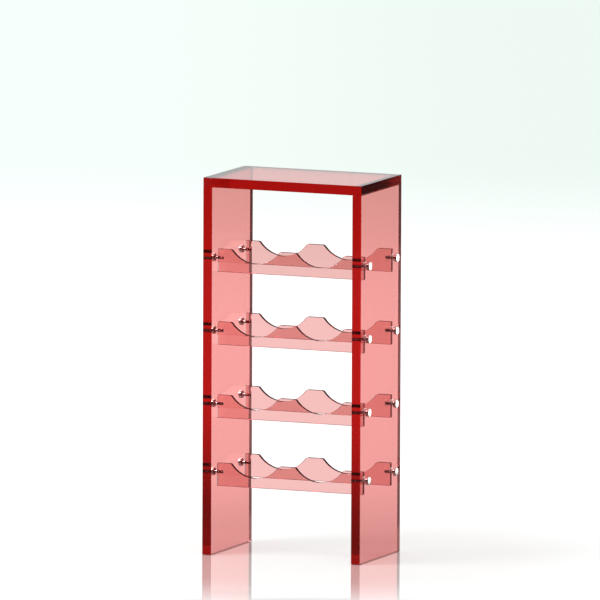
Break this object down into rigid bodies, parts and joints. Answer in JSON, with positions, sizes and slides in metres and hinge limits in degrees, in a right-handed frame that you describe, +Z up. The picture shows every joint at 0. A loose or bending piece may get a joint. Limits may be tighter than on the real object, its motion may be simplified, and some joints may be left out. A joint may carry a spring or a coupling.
{
  "type": "wine rack",
  "caption": "Free-standing wine rack in clear red acrylic: thick top and side panels joined by paired scalloped rails that cradle bottles lying front to back, with round chrome caps.",
  "frame": {"origin": "on the floor under the middle of the rack, at the centre of the bounding box's bottom face", "axes": "+Z up along the height, +X to the right seen from the front, -Y towards the front"},
  "size_m": [0.463, 0.27, 0.99],
  "materials": {
    "panel_acrylic": "transparent red cast acrylic, 25 mm, polished faces and edges",
    "rail_acrylic": "transparent red cast acrylic, 12 mm, polished faces and edges",
    "cap_chrome": "polished chrome",
    "stud_steel": "zinc-plated threaded stud",
    "washer_rubber": "matte black"
  },
  "bodies": {
    "root": {"top_panel": "panel_acrylic", "left_side_panel": "panel_acrylic", "right_side_panel": "panel_acrylic", "rail_1_front": "rail_acrylic", "rail_1_back": "rail_acrylic", "rail_2_front": "rail_acrylic", "rail_2_back": "rail_acrylic", "rail_3_front": "rail_acrylic", "rail_3_back": "rail_acrylic", "rail_4_front": "rail_acrylic", "rail_4_back": "rail_acrylic", "stud_1_front_left": "stud_steel", "stud_1_front_right": "stud_steel", "stud_1_back_left": "stud_steel", "stud_1_back_right": "stud_steel", "stud_2_front_left": "stud_steel", "stud_2_front_right": "stud_steel", "stud_2_back_left": "stud_steel", "stud_2_back_right": "stud_steel", "stud_3_front_left": "stud_steel", "stud_3_front_right": "stud_steel", "stud_3_back_left": "stud_steel", "stud_3_back_right": "stud_steel", "stud_4_front_left": "stud_steel", "stud_4_front_right": "stud_steel", "stud_4_back_left": "stud_steel", "stud_4_back_right": "stud_steel", "cap_1_front_left": "cap_chrome", "cap_1_front_right": "cap_chrome", "cap_1_back_left": "cap_chrome", "cap_1_back_right": "cap_chrome", "cap_2_front_left": "cap_chrome", "cap_2_front_right": "cap_chrome", "cap_2_back_left": "cap_chrome", "cap_2_back_right": "cap_chrome", "cap_3_front_left": "cap_chrome", "cap_3_front_right": "cap_chrome", "cap_3_back_left": "cap_chrome", "cap_3_back_right": "cap_chrome", "cap_4_front_left": "cap_chrome", "cap_4_front_right": "cap_chrome", "cap_4_back_left": "cap_chrome", "cap_4_back_right": "cap_chrome", "washer_1_front_left": "washer_rubber", "washer_1_front_right": "washer_rubber", "washer_1_back_left": "washer_rubber", "washer_1_back_right": "washer_rubber", "washer_2_front_left": "washer_rubber", "washer_2_front_right": "washer_rubber", "washer_2_back_left": "washer_rubber", "washer_2_back_right": "washer_rubber", "washer_3_front_left": "washer_rubber", "washer_3_front_right": "washer_rubber", "washer_3_back_left": "washer_rubber", "washer_3_back_right": "washer_rubber", "washer_4_front_left": "washer_rubber", "washer_4_front_right": "washer_rubber", "washer_4_back_left": "washer_rubber", "washer_4_back_right": "washer_rubber"}
  },
  "joints": []
}
